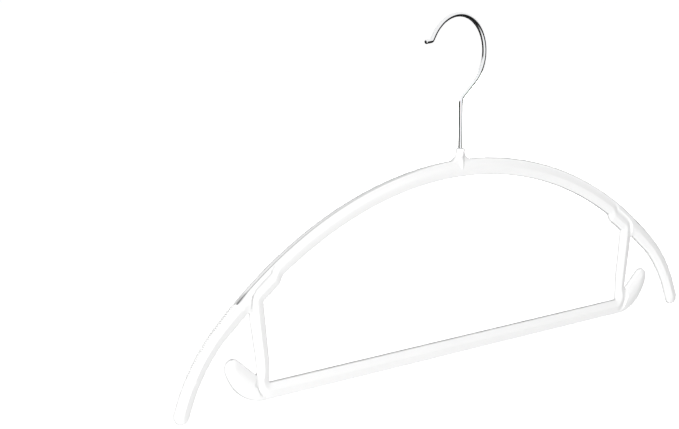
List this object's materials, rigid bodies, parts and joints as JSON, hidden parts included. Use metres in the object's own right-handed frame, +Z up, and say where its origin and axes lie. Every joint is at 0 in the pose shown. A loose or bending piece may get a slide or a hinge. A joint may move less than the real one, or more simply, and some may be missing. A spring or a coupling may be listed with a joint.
{
  "type": "clothes hanger",
  "caption": "Slim moulded clothes hanger with an arched shoulder line, ribbed shoulder grips, a trouser bar, strap hooks and a wire hook that turns in the neck.",
  "frame": {"origin": "the point under the crown of the hook where the hanger hangs on its rail, on the axis that the hook turns about", "axes": "+Z up, +X along the hanger, away from the side that the hook opens to, +Y through the thickness to the back"},
  "size_m": [0.4284, 0.0058, 0.2042],
  "materials": {
    "white_plastic": "glossy moulded",
    "chrome_wire": "bright plated",
    "grip_rubber": "satin, ribbed"
  },
  "bodies": {
    "hook": {"swivel_hook": "chrome_wire"},
    "hanger": {"hanger_body": "white_plastic", "shoulder_grip_left": "grip_rubber", "shoulder_grip_right": "grip_rubber"}
  },
  "joints": [
    {"name": "hook_swivel", "type": "hinge", "parent": "hook", "child": "hanger", "pos_m": [0, 0, -0.08], "axis": [0, 0, 1], "continuous": true}
  ]
}
